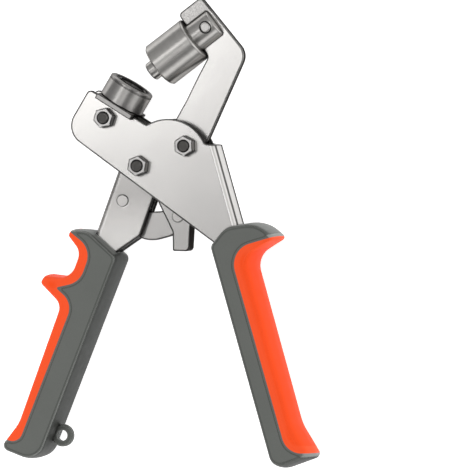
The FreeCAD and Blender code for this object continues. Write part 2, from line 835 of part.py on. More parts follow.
# ---- lever: a folded channel that turns on its bush ----
lever = new_body("lever")
lever_outline = new_sketch(lever, "outline")
draw_outline(lever_outline, [
    (lever_tang_left, -size.lever_spine_drop, 0),
    (lever_inside, -size.lever_spine_drop, 0),
    (lever_inside, size.lever_top, size.lever_top_round),
    (size.lever_right, size.lever_top, size.lever_top_round),
    (size.lever_right, -size.lever_shoulder, size.lever_sheet),
    (lever_tang_right, -size.lever_tang_start, size.lever_sheet),
    (lever_tang_right, -size.lever_tang_end, size.lever_sheet),
    (lever_tang_left, -size.lever_tang_end, 0),
])
pad(lever, "sheet", lever_outline, lever_half * 2)
cut_loop(lever, "channel", [
    (lever_inside, -size.lever_tang_end * 2, 0),
    (size.lever_right * 2, -size.lever_tang_end * 2, 0),
    (size.lever_right * 2, size.lever_top * 2, 0),
    (lever_inside, size.lever_top * 2, 0),
], size.lever_gap)
pivot_holes = new_sketch(lever, "pivot_holes")
draw_circle(pivot_holes, 0, 0, size.bush_radius + size.pivot_slip)
lever_pin_local = turned(lever_pin[0] - lever_pivot[0], lever_pin[1] - lever_pivot[1], size.lever_tilt)
draw_circle(pivot_holes, *lever_pin_local, size.pin_radius + size.fit_slip)
pocket(lever, "pivot_cut", pivot_holes, through)
lever_fold = spine_edge(anvil_origin, NOTHING, lever_tang_left, lever_half)
fillet(lever, "outer_bend", size.lever_sheet + size.fold_inside, lever_fold)
place(lever, lever_pivot, size.lever_tilt, clockwise=True)


# ---- jaw arm: one thick plate from the punch down to a tongue in the tail ----
def on_punch(back, left):
    return placed(punch_tip_place, punch_tilt, back, left)


arm_front = holder_end + size.moving_gap
arm = new_body("jaw_arm")
arm_outline = new_sketch(arm, "outline")
draw_outline(arm_outline, [
    (*on_punch(arm_front, size.arm_end_left), size.pin_radius),
    (*on_punch(arm_front + size.arm_end_back, size.arm_end_left), size.pin_radius),
    corner["arm_elbow"],
    corner["arm_back"],
    corner["arm_heel"],
    corner["arm_tongue_right"],
    corner["arm_tongue_left"],
    corner["arm_waist"],
    corner["arm_hip"],
    corner["arm_inner_low"],
    corner["arm_inner_mid"],
    (*on_punch(arm_front, -size.holder_radius), size.pin_radius),
])
pad(arm, "plate", arm_outline, size.arm_thickness)
jaw_hole_radius = size.bush_radius + size.pivot_slip
jaw_rivet_place = (size.jaw_rivet_x, size.jaw_rivet_y)
arm_holes = new_sketch(arm, "holes")
draw_circle(arm_holes, *jaw_pivot, jaw_hole_radius)
draw_circle(arm_holes, *punch_pin_place, size.punch_pin_radius + size.fit_slip)
draw_circle(arm_holes, *jaw_rivet_place, size.pin_radius + size.fit_slip)
pocket(arm, "hole_cut", arm_holes, through)
chamfer(arm, "edge_break", size.arm_edge_break, level_edge(size.arm_thickness * HALF))

# ---- tail: a folded channel on both sides of the arm's tongue ----
hub_left = jaw_pivot[0] - size.hub_radius
hub_right = jaw_pivot[0] + size.hub_radius
hub_top = jaw_pivot[1] + size.hub_radius
tail = new_body("jaw_tail")
tail_outline = new_sketch(tail, "outline")
draw_outline(tail_outline, [
    corner["tail_toe_left"],
    corner["tail_toe_right"],
    corner["tail_calf"],
    (hub_right, hub_top, size.hub_round),
    (hub_left, hub_top, size.hub_round),
    corner["tail_waist"],
    corner["tail_shoulder"],
    corner["tail_shin"],
])
pad(tail, "sheet", tail_outline, tail_half * 2)
tail_floor = corner["tail_toe_left"][1] + size.tail_toe
tail_far = jaw_pivot[0] * 2
cut_loop(tail, "channel", [
    (-tail_far, tail_floor, 0),
    (corner["tail_toe_right"][0] - size.tail_sheet, tail_floor, size.tail_sheet * HALF),
    (corner["tail_calf"][0] - size.tail_sheet, corner["tail_calf"][1], 0),
    (size.tail_notch_x, -size.tail_spine_start, 0),
    (tail_far, -size.tail_spine_start, 0),
    (tail_far, tail_far, 0),
    (-tail_far, tail_far, 0),
], tail_gap)
tail_holes = new_sketch(tail, "holes")
draw_circle(tail_holes, *jaw_pivot, jaw_hole_radius)
draw_circle(tail_holes, *tail_pin, size.pin_radius + size.fit_slip)
draw_circle(tail_holes, *jaw_rivet_place, size.pin_radius + size.fit_slip)
pocket(tail, "hole_cut", tail_holes, through)


# ---- crescent link between the lever and the tail ----
link = new_body("link")
link_outline = new_sketch(link, "outline")
draw_outline(link_outline, [corner[f"link_{name}"] for name in (
    "near_left", "near_top", "throat_left", "throat_right", "far_top", "far_right",
    "far_low", "belly_right", "belly", "belly_left")])
pad(link, "plate", link_outline, size.link_thickness)
link_holes = new_sketch(link, "holes")
draw_circle(link_holes, *lever_pin, size.pin_radius + size.pivot_slip)
draw_circle(link_holes, *tail_pin, size.pin_radius + size.open_pivot_slip)
pocket(link, "hole_cut", link_holes, through)


# ---- turned pieces on an upright axis: bushes, washers, rivets, bolts and nuts ----
def sleeve(name, origin, inner, outer, length, height=None):
    """A plain tube about an upright axis."""
    body = new_body(name)
    half = length * HALF
    upright_profile(body, "wall", [
        (-half, inner, 0), (-half, outer, 0), (half, outer, 0), (half, inner, 0)])
    place(body, origin, None, height)
    return body


def rivet(name, origin, radius, grip, head_radius, head_height):
    """A pin with a low flat head at each end."""
    body = new_body(name)
    half = grip * HALF
    top = half + head_height
    upright_profile(body, "wall", bevelled([
        (-top, 0, 0), (-top, head_radius, size.pin_head_break), (-half, head_radius, 0),
        (-half, radius, 0), (half, radius, 0), (half, head_radius, 0),
        (top, head_radius, size.pin_head_break), (top, 0, 0)]))
    place(body, origin)
    return body


def compound(name, members):
    """Gather loose solids of one kind under one name."""
    group = document.addObject("Part::Compound", name)
    group.Label = name
    group.Links = members
    document.recompute()
    return group


bush_length = size.frame_gap - size.side_slip
bush_bore = size.bolt_radius + size.fit_slip
lever_bush = sleeve("lever_bush", lever_pivot, bush_bore, size.bush_radius, bush_length)
jaw_bush = sleeve("jaw_bush", jaw_pivot, bush_bore, size.bush_radius, bush_length)

jaw_spacer_room = gap_half - tail_half
jaw_spacer_length = jaw_spacer_room - size.side_slip * 2
jaw_spacer_height = (gap_half + tail_half) * HALF
jaw_spacers = compound("jaw_spacers", [
    sleeve(f"jaw_spacer_{side}", jaw_pivot, jaw_hole_radius, size.spacer_radius,
           jaw_spacer_length, jaw_spacer_height * way)
    for side, way in (("front", 1), ("back", -1))])
link_half = size.link_thickness * HALF
lever_gap_half = size.lever_gap * HALF
link_spacer_length = lever_gap_half - link_half - size.side_slip * 2
link_spacer_height = (lever_gap_half + link_half) * HALF
link_spacers = compound("link_spacers", [
    sleeve(f"link_spacer_{side}", lever_pin, size.pin_radius + size.pivot_slip, size.washer_radius,
           link_spacer_length, link_spacer_height * way)
    for side, way in (("front", 1), ("back", -1))])

lever_link_pin = rivet("lever_link_pin", lever_pin, size.pin_radius, lever_half * 2,
                       size.pin_head_radius, size.pin_head_height)
jaw_link_pin = rivet("jaw_link_pin", tail_pin, size.pin_radius, tail_half * 2,
                     size.pin_head_radius, size.pin_head_height)
jaw_tail_rivet = rivet("jaw_tail_rivet", jaw_rivet_place, size.pin_radius, tail_half * 2,
                       size.pin_head_radius, size.pin_head_height)


def draw_hexagon(sketch, width):
    """A regular hexagon about the sketch's origin, given its width across flats."""
    reach = width * HALF * HEX_CORNER_RATIO
    step = FULL_TURN / HEX_SIDES
    points = [turned(reach, 0, as_length(step * index)) for index in range(HEX_SIDES)]
    draw_outline(sketch, [(*point, 0) for point in points])


def hexagon(name, origin, turn, low, high, chamfer_top):
    """A hexagonal prism with its outer corners turned off at one end."""
    body = new_body(name)
    flats = new_sketch(body, "flats")
    draw_hexagon(flats, size.hex_width)
    flats.AttachmentOffset = FreeCAD.Placement(FreeCAD.Vector(0, 0, low.number), FreeCAD.Rotation())
    bind(flats, "AttachmentOffset.Base.z", low)
    pad(body, "prism", flats, high - low, symmetric=False)
    bevel = new_sketch(body, "bevel", "YZ_Plane")
    inside = size.hex_width * HALF - size.fit_slip
    outside = size.hex_width
    reach = size.hex_width * HALF * HEX_CORNER_RATIO
    drop = size.hex_chamfer * (outside - inside) / (reach - inside)
    edge = high if chamfer_top else low
    beyond = edge - drop if chamfer_top else edge + drop
    draw_outline(bevel, [(inside, edge, 0), (outside, edge, 0), (outside, beyond, 0)])
    groove(body, "bevel_cut", bevel)
    place(body, origin, turn)
    return body


pivots = (
    ("anvil", anvil_bolt, size.anvil_nut_turn),
    ("lever", lever_pivot, size.lever_nut_turn),
    ("jaw", jaw_pivot, size.jaw_nut_turn),
)
head_low = -frame_half - size.bolt_head_height
nut_top = frame_half + size.nut_height
bolts = []
nuts = []
for name, origin, turn in pivots:
    bolt = hexagon(f"{name}_bolt", origin, turn, head_low, -frame_half, False)
    shank_line = [
        (-frame_half, 0, 0),
        (-frame_half, size.bolt_radius, 0),
        (nut_top + size.bolt_end, size.bolt_radius, size.bolt_chamfer),
        (nut_top + size.bolt_end, 0, 0),
    ]
    upright_profile(bolt, "shank", bevelled(shank_line))
    bolts.append(bolt)
    nut = hexagon(f"{name}_nut", origin, turn, frame_half, nut_top, True)
    bore = new_sketch(nut, "bore")
    draw_circle(bore, 0, 0, bolt_hole_radius)
    pocket(nut, "bore_cut", bore, through)
    sink = new_sketch(nut, "countersink", "YZ_Plane")
    draw_outline(sink, [
        (bolt_hole_radius, nut_top, 0),
        (bolt_hole_radius + size.nut_countersink, nut_top, 0),
        (bolt_hole_radius, nut_top - size.nut_countersink, 0),
    ])
    groove(nut, "countersink_cut", sink)
    nuts.append(nut)
hex_bolts = compound("hex_bolts", bolts)
hex_nuts = compound("hex_nuts", nuts)


# ---- anvil: a turned die on a saddle that is bolted between the cheeks ----
def lying_profile(body, name, corners):
    """Turn a profile of (distance, radius) corners about the body's X axis."""
    profile = new_sketch(body, name)
    draw_outline(profile, corners)
    revolve(body, f"{name}_turn", profile)


anvil_body = new_body("anvil_body")
stud_end = -size.anvil_height - size.anvil_stud_length
groove_low = -size.anvil_rim_drop - size.anvil_rim_groove
groove_radius = size.anvil_radius - size.anvil_rim_groove * HALF
lying_profile(anvil_body, "wall", bevelled([
    (stud_end, 0, 0),
    (stud_end, size.anvil_stud_radius, size.bolt_chamfer),
    (-size.anvil_height, size.anvil_stud_radius, 0),
    (-size.anvil_height, size.anvil_radius, size.bolt_chamfer),
    (groove_low, size.anvil_radius, 0),
    (groove_low, groove_radius, 0),
    (-size.anvil_rim_drop, groove_radius, 0),
    (-size.anvil_rim_drop, size.anvil_radius, 0),
    (0, size.anvil_radius, size.bolt_chamfer),
    (0, size.anvil_pocket_radius, 0),
    (-size.anvil_pocket_depth, size.anvil_pocket_radius, 0),
    (-size.anvil_pocket_depth, 0, 0),
]))
place(anvil_body, anvil_origin, size.anvil_tilt)

anvil_insert = new_body("anvil_insert")
insert_radius = size.anvil_pocket_radius - size.fit_slip
lying_profile(anvil_insert, "ring", [
    (-size.anvil_pocket_depth, size.recess_radius, 0),
    (-size.anvil_pocket_depth, insert_radius, 0),
    (-size.insert_break, insert_radius, 0),
    (0, insert_radius - size.insert_break, 0),
    (0, size.curl_outer_radius, 0),
    (-size.curl_depth, size.curl_outer_radius, size.curl_round),
    (-size.curl_depth, size.curl_inner_radius, size.curl_round),
    (0, size.curl_inner_radius, 0),
    (0, size.recess_radius, 0),
])
place(anvil_insert, anvil_origin, size.anvil_tilt)

anvil_saddle = new_body("anvil_saddle")
lip_low = -seat_depth - size.saddle_lip_drop
bed = new_sketch(anvil_saddle, "bed")
draw_rectangle(bed, lip_low, -size.saddle_right, -size.anvil_height, size.saddle_left)
pad(anvil_saddle, "block", bed, size.saddle_width)
cut_loop(anvil_saddle, "straddle", [
    (lip_low * 2, -size.saddle_width, 0),
    (-seat_depth, -size.saddle_width, 0),
    (-seat_depth, size.saddle_width, 0),
    (lip_low * 2, size.saddle_width, 0),
], frame_half * 2 + slip * 2)
tenon = new_sketch(anvil_saddle, "tenon")
draw_outline(tenon, [
    (-seat_depth, -size.tenon_half, 0),
    (-seat_depth, size.tenon_half, 0),
    (-size.tenon_end, size.tenon_half, size.pin_radius),
    (-size.tenon_end, -size.tenon_half, size.pin_radius),
])
pad(anvil_saddle, "tenon_pad", tenon, size.frame_gap - size.side_slip)
saddle_bolt = new_sketch(anvil_saddle, "bolt_hole")
draw_circle(saddle_bolt, -size.anvil_bolt_depth, size.anvil_bolt_side, bolt_hole_radius)
pocket(anvil_saddle, "bolt_cut", saddle_bolt, through)
stud_hole = new_sketch(anvil_saddle, "stud_hole")
stud_bore = size.anvil_stud_radius + slip
draw_outline(stud_hole, [
    (stud_end - slip, 0, 0),
    (stud_end - slip, stud_bore, 0),
    (0, stud_bore, 0),
    (0, 0, 0),
])
groove(anvil_saddle, "stud_cut", stud_hole, "H_Axis")
place(anvil_saddle, anvil_origin, size.anvil_tilt)


# ---- punch: a tip in a turned holder that is slotted over the arm and pinned ----
punch_tip = new_body("punch_tip")
stem_end = size.spigot_length + size.stem_length
lying_profile(punch_tip, "wall", bevelled([
    (0, 0, 0),
    (0, size.spigot_radius, size.bolt_chamfer),
    (size.spigot_length, size.spigot_radius, 0),
    (size.spigot_length, size.stem_radius, 0),
    (stem_end, size.stem_radius, size.bolt_chamfer),
    (stem_end, 0, 0),
]))
place(punch_tip, punch_tip_place, punch_tilt)

punch_holder = new_body("punch_holder")
lying_profile(punch_holder, "wall", bevelled([
    (size.spigot_length, 0, 0),
    (size.spigot_length, size.holder_radius, size.holder_break),
    (holder_end, size.holder_radius, size.holder_break),
    (holder_end, size.shank_radius, 0),
    (shank_end, size.shank_radius, size.shank_break),
    (shank_end, 0, 0),
]))
stem_hole = new_sketch(punch_holder, "stem_hole")
stem_bore = size.stem_radius + slip
draw_outline(stem_hole, [
    (0, 0, 0),
    (0, stem_bore, 0),
    (stem_end + slip, stem_bore, 0),
    (stem_end + slip, 0, 0),
])
groove(punch_holder, "stem_cut", stem_hole, "H_Axis")
cut_loop(punch_holder, "arm_slot", [
    (holder_end, -size.holder_radius * 2, 0),
    (shank_end * 2, -size.holder_radius * 2, 0),
    (shank_end * 2, size.holder_radius * 2, 0),
    (holder_end, size.holder_radius * 2, 0),
], size.arm_thickness + size.side_slip * 2)
holder_pin_hole = new_sketch(punch_holder, "pin_hole")
draw_circle(holder_pin_hole, holder_end + size.punch_pin_inset, 0, size.punch_pin_radius + slip)
pocket(punch_holder, "pin_cut", holder_pin_hole, through)
place(punch_holder, punch_tip_place, punch_tilt)

punch_pin = new_body("punch_pin")
pin_half = size.shank_radius + size.punch_pin_proud
upright_profile(punch_pin, "wall", bevelled([
    (-pin_half, 0, 0),
    (-pin_half, size.punch_pin_radius, size.bolt_chamfer),
    (pin_half, size.punch_pin_radius, size.bolt_chamfer),
    (pin_half, 0, 0),
]))
place(punch_pin, punch_pin_place)


# ---- return spring: a torsion coil round the lever bush with two straight legs ----
spring_radius = size.lever_left - size.lever_sheet - size.spring_wire_radius - size.side_slip
spring_lead = size.spring_foot_angle + size.lever_tilt - HALF_TURN
spring_turns = as_length(SPRING_WHOLE_TURNS) - spring_lead / FULL_TURN


def spring_shape():
    """The coil runs clockwise and upward from the lever's leg to the frame's leg."""
    radius = spring_radius.number
    height = size.spring_pitch.number * spring_turns.number
    helix = Part.makeLongHelix(size.spring_pitch.number, height, radius, 0, True)
    wire = FreeCAD.Vector(size.spring_wire_radius.number, 0, 0)
    centre = FreeCAD.Vector(radius, 0, 0)
    across = FreeCAD.Vector(0, 1, 0)
    step = FULL_TURN / SPRING_WIRE_SIDES
    points = [centre + FreeCAD.Rotation(across, step * side).multVec(wire)
              for side in range(SPRING_WIRE_SIDES)]
    section = Part.makePolygon(points + points[:1])
    coil = Part.Wire(helix.Edges).makePipeShell([section], True, True)
    flat_faces = [face for face in coil.Faces if isinstance(face.Surface, Part.Plane)]
    lower_end, upper_end = sorted(flat_faces, key=lambda face: face.CenterOfMass.z)
    lever_leg = lower_end.extrude(across * size.spring_lever_leg.number)
    sweep = FreeCAD.Rotation(FreeCAD.Vector(0, 0, -1), spring_turns.number * FULL_TURN)
    frame_way = sweep.multVec(-across)
    frame_leg = upper_end.extrude(frame_way * size.spring_frame_leg.number)
    whole = coil.fuse([lever_leg, frame_leg])
    whole.translate(FreeCAD.Vector(0, 0, -height * HALF))
    return whole.removeSplitter()


return_spring = document.addObject("Part::Feature", "return_spring")
return_spring.Label = "return_spring"
return_spring.Shape = spring_shape()
place(return_spring, lever_pivot, as_length(HALF_TURN) - size.lever_tilt)


# ---- final checks and one file for each piece ----
document.recompute()
for item in document.Objects:
    if "Invalid" in item.State or "Error" in item.State:
        raise RuntimeError(f"{item.Name} did not build")
pieces = (
    frame, right_grip, right_inlay, lever, left_grip, left_inlay,
    arm, tail, jaw_tail_rivet, punch_holder, punch_tip, punch_pin,
    anvil_body, anvil_insert, anvil_saddle, hex_bolts, hex_nuts,
    lever_bush, jaw_bush, jaw_spacers, link, link_spacers,
    lever_link_pin, jaw_link_pin, return_spring,
)
os.makedirs("parts", exist_ok=True)
for piece in pieces:
    if piece.Shape.isNull() or not piece.Shape.isValid():
        raise RuntimeError(f"{piece.Label} has no sound shape")
    piece.Shape.exportStep(f"parts/{piece.Label}.step")
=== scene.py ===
"""Camera, light, floor and materials for the eyelet setting pliers.

Everything is in metres in the part's own frame: the tool lies on its back, +Z faces up, the jaws
point to +Y and the fixed grip lies to +X. The origin is the middle of the anvil's working face.
"""

import math
import bpy
from mathutils import Matrix, Vector


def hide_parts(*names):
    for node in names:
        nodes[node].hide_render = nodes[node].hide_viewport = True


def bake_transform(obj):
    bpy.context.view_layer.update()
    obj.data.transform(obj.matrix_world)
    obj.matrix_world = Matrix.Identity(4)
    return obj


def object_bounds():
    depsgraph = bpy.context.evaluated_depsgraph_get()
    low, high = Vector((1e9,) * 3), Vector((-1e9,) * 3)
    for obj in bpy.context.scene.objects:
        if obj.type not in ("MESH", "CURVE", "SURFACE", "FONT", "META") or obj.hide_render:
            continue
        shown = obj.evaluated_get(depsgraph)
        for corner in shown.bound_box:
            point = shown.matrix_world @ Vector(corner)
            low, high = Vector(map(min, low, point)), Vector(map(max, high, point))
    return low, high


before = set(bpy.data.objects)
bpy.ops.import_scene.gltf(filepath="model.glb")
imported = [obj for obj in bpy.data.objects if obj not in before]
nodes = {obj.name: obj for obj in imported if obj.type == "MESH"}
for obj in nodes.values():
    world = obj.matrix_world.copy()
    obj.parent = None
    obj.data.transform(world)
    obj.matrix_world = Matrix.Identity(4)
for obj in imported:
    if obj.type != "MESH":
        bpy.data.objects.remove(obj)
cad_low, cad_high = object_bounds()
scene = bpy.context.scene
MM = 0.001

# ---- camera: from straight above, turned a little towards the fixed grip ----
VIEW_YAW = math.radians(16.0)
VIEW_PITCH = math.radians(1.0)
VIEW_TARGET = Vector((58.7, -82.8, 0.0)) * MM
VIEW_WIDTH = 258.5 * MM
LENS = 900.0
SENSOR = 36.0
NEAR_PART = 0.1
FAR_PART = 10.0


def make_camera():
    """A long lens, so that the view is almost parallel."""
    data = bpy.data.cameras.new("camera")
    data.lens = LENS
    data.sensor_width = SENSOR
    camera = bpy.data.objects.new("camera", data)
    scene.collection.objects.link(camera)
    back = Vector((
        math.sin(VIEW_YAW) * math.cos(VIEW_PITCH),
        math.sin(VIEW_PITCH),
        math.cos(VIEW_YAW) * math.cos(VIEW_PITCH),
    ))
    right = Vector((0.0, 1.0, 0.0)).cross(back).normalized()
    up = back.cross(right)
    distance = LENS / SENSOR * VIEW_WIDTH
    turn = Matrix((right, up, back)).transposed().to_4x4()
    camera.matrix_world = Matrix.Translation(VIEW_TARGET + back * distance) @ turn
    data.clip_start = distance * NEAR_PART
    data.clip_end = distance * FAR_PART
    scene.camera = camera


# ---- small helpers for node trees ----
def add(tree, kind, inputs=None, **settings):
    """Add a node; an input that is a socket is linked, any other is set."""
    node = tree.nodes.new(kind)
    for name, value in settings.items():
        setattr(node, name, value)
    for name, value in (inputs or {}).items():
        if isinstance(value, bpy.types.NodeSocket):
            tree.links.new(value, node.inputs[name])
        else:
            node.inputs[name].default_value = value
    return node


def new_material(name):
    """A new material, its node tree and its shader."""
    material = bpy.data.materials.new(name)
    material.use_nodes = True
    tree = material.node_tree
    shader = next(node for node in tree.nodes if node.type == "BSDF_PRINCIPLED")
    return material, tree, shader


def object_place(tree):
    """The point of the surface in the part's frame."""
    return add(tree, "ShaderNodeTexCoord").outputs["Object"]


def normal_part(tree, axis):
    """How far the surface looks along one axis of the part's frame, from -1 to 1."""
    normal = add(tree, "ShaderNodeTexCoord").outputs["Normal"]
    return add(tree, "ShaderNodeSeparateXYZ", {0: normal}).outputs[axis]


def ramp(tree, factor, stops):
    """A colour ramp of (place, grey or colour) stops."""
    node = add(tree, "ShaderNodeValToRGB", {"Fac": factor})
    elements = node.color_ramp.elements
    while len(elements) < len(stops):
        elements.new(0.5)
    for element, (place, value) in zip(elements, stops):
        element.position = place
        colour = value if isinstance(value, tuple) else (value, value, value)
        element.color = (*colour, 1.0)
    return node.outputs["Color"]


def noise(tree, place, scale, detail=3.0, roughness=0.55):
    """A noise pattern; with places in metres, its spots are about 1 / scale metres wide."""
    inputs = {"Vector": place, "Scale": scale, "Detail": detail, "Roughness": roughness}
    return add(tree, "ShaderNodeTexNoise", inputs).outputs["Fac"]


def stretched(tree, place, factors, turn):
    """Places turned about Z and then scaled, for grain that runs one way."""
    turned = add(tree, "ShaderNodeMapping", {"Vector": place, "Rotation": (0.0, 0.0, turn)})
    scaled = add(tree, "ShaderNodeMapping", {"Vector": turned.outputs["Vector"], "Scale": factors})
    return scaled.outputs["Vector"]


def math_node(tree, operation, first, second):
    """One step of arithmetic on two values."""
    return add(tree, "ShaderNodeMath", {0: first, 1: second}, operation=operation).outputs[0]


def scaled_and_raised(tree, value, factor, base):
    """value * factor + base"""
    inputs = {0: value, 1: factor, 2: base}
    return add(tree, "ShaderNodeMath", inputs, operation="MULTIPLY_ADD").outputs[0]


def dot_product(tree, vector, direction):
    """How far a vector reaches along a direction."""
    node = add(tree, "ShaderNodeVectorMath", {0: vector, 1: direction}, operation="DOT_PRODUCT")
    return node.outputs["Value"]


def cross_product(tree, first, second):
    """The vector at right angles to two others."""
    node = add(tree, "ShaderNodeVectorMath", {0: first, 1: second}, operation="CROSS_PRODUCT")
    return node.outputs["Vector"]


def mixed(tree, factor, first, second, blend="MIX"):
    """Two colours mixed; a factor of 0 gives the first."""
    node = add(tree, "ShaderNodeMix", {"Factor": factor}, data_type="RGBA", blend_type=blend)
    for socket, value in ((node.inputs[6], first), (node.inputs[7], second)):
        if isinstance(value, bpy.types.NodeSocket):
            tree.links.new(value, socket)
        else:
            socket.default_value = (*value, 1.0)
    return node.outputs[2]


def multiplied(tree, colour, shade):
    """A colour times a shade."""
    return mixed(tree, 1.0, colour, shade, "MULTIPLY")


PATTERN_LOW = 0.3
PATTERN_HIGH = 0.7


def varied(tree, colour, pattern, dark, light):
    """A colour made darker where a noise pattern is low and lighter where it is high."""
    shade = ramp(tree, pattern, [(PATTERN_LOW, dark), (PATTERN_HIGH, light)])
    return multiplied(tree, colour, shade)


# ---- where painted shade and painted highlights lie, and rounded corners ----
def inner_openness(tree, reach):
    """1 in the middle of a face, and less within the reach of an outer corner."""
    node = add(tree, "ShaderNodeAmbientOcclusion", {"Distance": reach}, samples=16, inside=True,
               only_local=True)
    return node.outputs["AO"]


def edge_mask(tree, reach):
    """1 for half of the reach from a corner, falling to 0 before the reach."""
    return ramp(tree, inner_openness(tree, reach), [(0.81, 1.0), (0.93, 0.0)])


def side_mask(tree, steep, flat):
    """1 on faces that stand upright and 0 on faces that look up or down."""
    size = math_node(tree, "ABSOLUTE", normal_part(tree, "Z"), 0.0)
    return ramp(tree, size, [(steep, 1.0), (flat, 0.0)])


def facing_jaws(tree):
    """1 on faces that look towards the jaws and 0 on the rest."""
    return ramp(tree, normal_part(tree, "Y"), [(0.62, 0.0), (0.80, 1.0)])


RIDGE_REACH = 2.4 * MM
RIDGE_ROUNDED = 0.88
RIDGE_FLAT = 0.97
RIDGE_SHADE = 0.8


def ridge_lines(tree, colour, dark, light, amount):
    """A painted highlight line along each rounded ridge, with a line of painted shade beside it."""
    inner = inner_openness(tree, RIDGE_REACH)
    shade_depth = RIDGE_SHADE * amount
    beside = ramp(tree, inner, [(0.76, 0.0), (0.81, shade_depth), (0.87, shade_depth), (0.93, 0.0)])
    crest = ramp(tree, inner, [(0.74, amount), (0.80, 0.0)])
    along = math_node(tree, "MULTIPLY", crest, side_mask(tree, RIDGE_ROUNDED, RIDGE_FLAT))
    return mixed(tree, along, mixed(tree, beside, colour, dark), light)


def seam_shade(tree, colour, reach, darkest):
    """Painted shade in the seams where pieces meet."""
    open_sky = add(tree, "ShaderNodeAmbientOcclusion", {"Distance": reach}, samples=8)
    shade = ramp(tree, open_sky.outputs["AO"], [(0.35, darkest), (0.85, 1.0)])
    return multiplied(tree, colour, shade)


def bend_mask(tree, place, half_depth):
    """1 along both bends of a folded sheet, wider along the one it lies on, and 0 between them."""
    height = add(tree, "ShaderNodeSeparateXYZ", {0: place}).outputs["Z"]
    share = scaled_and_raised(tree, height, 0.5 / half_depth, 0.5)
    return ramp(tree, share, [(0.27, 1.0), (0.32, 0.0), (0.76, 0.0), (0.82, 1.0)])


def worn_corners(tree, radius, samples=8):
    """Normals that round the corners off by a radius."""
    return add(tree, "ShaderNodeBevel", {"Radius": radius}, samples=samples).outputs["Normal"]


def bump(tree, shader, height, distance, strength, normal=None):
    """Raise the surface by a height pattern, over the given normals where there are any."""
    inputs = {"Height": height, "Distance": distance, "Strength": strength}
    if normal is not None:
        inputs["Normal"] = normal
    node = add(tree, "ShaderNodeBump", inputs)
    tree.links.new(node.outputs["Normal"], shader.inputs["Normal"])


# ---- directions and places that the finishes follow ----
ANVIL_ANGLE = math.radians(58.7)
PUNCH_ANGLE = math.radians(36.6)
LEVER_ANGLE = math.radians(-20.2)
SPINE_ANGLE = math.radians(16.2)
FRAME_GRAIN = math.radians(-40.0)
ARM_GRAIN = math.radians(-25.0)
ANVIL_POINT = Vector((0.0, 0.0, 0.0))
PUNCH_POINT = Vector((10.57, 6.57, 0.0)) * MM
PAST_PUNCH = (-0.596, 0.803, 0.0)
FRAME_HALF_DEPTH = max(abs(corner[2]) for corner in nodes["frame"].bound_box)

# ---- colours of painted shade on faces and edges, of oxide and of bare worn metal ----
SHEARED_FACE_SHADE = (0.045, 0.044, 0.042)
SHEET_EDGE_SHADE = (0.022, 0.021, 0.020)
TURNED_EDGE_SHADE = (0.025, 0.024, 0.023)
OXIDE_DARK = (0.040, 0.038, 0.036)
OXIDE_LIGHT = (0.085, 0.082, 0.078)
OXIDE_WORN = (0.42, 0.41, 0.40)

# ---- how much a metal reflects where it is seen at a glancing angle ----
DULL_GLANCE = 0.30
BRIGHT_GLANCE = 0.95
DARK_BEND_GLANCE = 0.12


def grey(value):
    """A colour without hue."""
    return (value, value, value)


# ---- marks that only one piece of sheet has: a darker tip, and painted light ----
def mottled_dark_tip(tree, place, colour):
    """The arm's clamp end, past the punch, darker and with a coarser mottle."""
    share = math_node(tree, "MULTIPLY", dot_product(tree, place, PAST_PUNCH), 1.0 / (20.0 * MM))
    coarse = noise(tree, place, 1500.0, detail=2.0, roughness=0.7)
    darkened_tip = multiplied(tree, colour, ramp(tree, coarse, [(0.35, 0.42), (0.65, 0.66)]))
    return mixed(tree, ramp(tree, share, [(0.20, 0.0), (0.30, 1.0)]), colour, darkened_tip)


def lever_light_gradient(tree, place, colour):
    """Painted light on the lever's sides: darker near the bolt and lighter towards the grip."""
    share = dot_product(tree, place, (0.0, -1.0 / (100.0 * MM), 0.0))
    return multiplied(tree, colour, ramp(tree, share, [(0.60, 0.86), (0.86, 1.45)]))


# ---- materials ----
def dark_bends(tree, shader, side_shade, glance, rough):
    """Bends with a painted dark reflection where the upright faces are darkened, and less polished than
    the flat sheet.
    """
    tint = mixed(tree, side_shade, grey(glance), grey(DARK_BEND_GLANCE))
    tree.links.new(tint, shader.inputs["Specular Tint"])
    added = math_node(tree, "MULTIPLY", side_mask(tree, 0.90, 0.995), 0.18)
    return math_node(tree, "ADD", rough, added)


